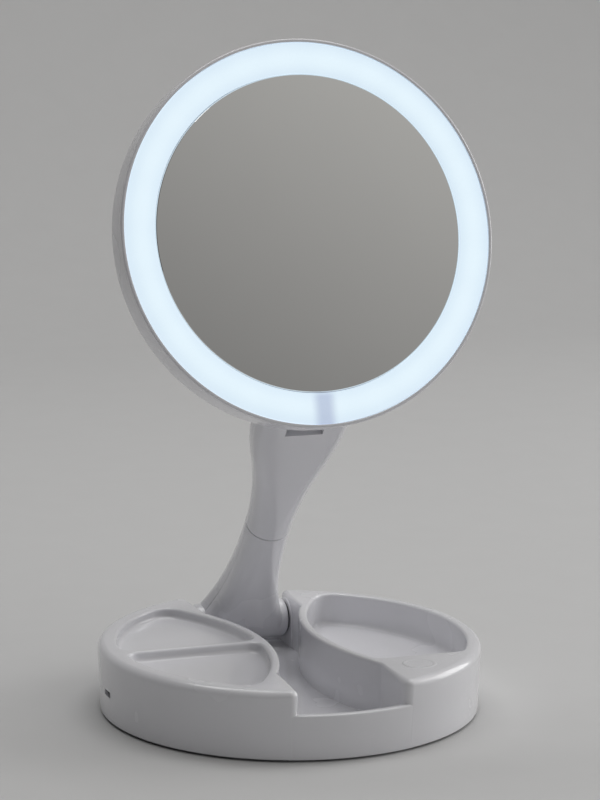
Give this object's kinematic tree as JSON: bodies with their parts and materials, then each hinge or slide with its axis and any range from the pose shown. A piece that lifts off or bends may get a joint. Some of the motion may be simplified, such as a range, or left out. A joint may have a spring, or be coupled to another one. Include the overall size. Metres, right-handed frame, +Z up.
{
  "type": "lighted magnifying mirror",
  "caption": "Round lighted vanity mirror on a two-part stem that folds into a round base with accessory trays, with a push button on the base.",
  "frame": {"origin": "middle of the base's footprint, on the surface it stands on", "axes": "+Z up, -Y the way the mirror faces, +X to the right as seen by someone facing the mirror"},
  "size_m": [0.17, 0.1691, 0.2942],
  "materials": {
    "white_gloss": "moulded gloss white",
    "white_matte": "moulded satin white",
    "diffuser": "frosted translucent white",
    "mirror_glass": "silvered glass",
    "steel": "bright zinc plated",
    "rubber": "soft grey rubber",
    "bearing_plastic": "natural acetal, dark",
    "circuit_board": "white solder mask",
    "led_white": "phosphor coated",
    "cell_jacket": "plain printed jacket, no marks"
  },
  "bodies": {
    "base": {"base_housing": "white_gloss", "base_cover": "white_matte", "rubber_feet": "rubber", "base_screws": "steel", "battery_cell_1": "cell_jacket", "battery_cell_2": "cell_jacket", "battery_cell_3": "cell_jacket", "battery_contact_front": "steel", "battery_contact_rear": "steel", "control_board": "circuit_board", "power_switch": "bearing_plastic", "charge_board": "circuit_board", "usb_socket": "steel", "indicator_light_pipe": "diffuser", "stem_hinge_pin": "steel", "stem_hinge_washers": "bearing_plastic"},
    "power_button": {"power_button": "white_gloss"},
    "battery_door": {"battery_door": "white_matte"},
    "lower_stem": {"lower_stem_front": "white_gloss", "lower_stem_rear": "white_gloss", "lower_stem_screw": "steel", "swivel_sleeve": "bearing_plastic"},
    "upper_stem": {"upper_stem_front": "white_gloss", "upper_stem_rear": "white_gloss", "upper_stem_screws": "steel", "swivel_spigot": "bearing_plastic", "swivel_retaining_ring": "steel", "head_hinge_pin": "steel", "head_hinge_washers": "bearing_plastic"},
    "hinge_bush": {"head_hinge_bush": "bearing_plastic"},
    "head": {"head_rear_shell": "white_gloss", "mirror_carrier": "white_matte", "carrier_screws": "steel", "magnifying_mirror": "mirror_glass", "front_mirror": "mirror_glass", "light_diffuser": "diffuser", "head_front_bezel": "white_gloss", "led_board": "circuit_board", "led_chips": "led_white"}
  },
  "joints": [
    {"name": "stem_fold", "type": "hinge", "parent": "base", "child": "lower_stem", "pos_m": [0, 0.072, 0.02], "axis": [1, 0, 0], "range_deg": [0, 53]},
    {"name": "stem_swivel", "type": "hinge", "parent": "lower_stem", "child": "upper_stem", "pos_m": [0, 0.072, 0.02], "axis": [0, -0.6018, 0.7986], "range_deg": [-180, 0]},
    {"name": "head_fold", "type": "hinge", "parent": "upper_stem", "child": "hinge_bush", "pos_m": [0, -0.01556, 0.1362], "axis": [-1, 0, 0], "range_deg": [0, 127.6]},
    {"name": "head_tilt", "type": "hinge", "parent": "hinge_bush", "child": "head", "pos_m": [0, -0.01556, 0.1362], "axis": [1, 0, 0], "range_deg": [-35, 25]},
    {"name": "button_press", "type": "slide", "parent": "base", "child": "power_button", "axis": [0, 0, -1], "range_m": [0, 0.0012], "stiffness_N_per_m": 800},
    {"name": "door_open", "type": "hinge", "parent": "base", "child": "battery_door", "pos_m": [-0.02495, 0, 0.001], "axis": [0, -1, 0], "range_deg": [0, 80]}
  ],
  "couplings": [
    {"joint": "head_fold", "follows": "stem_fold", "ratio": 2.4075}
  ]
}
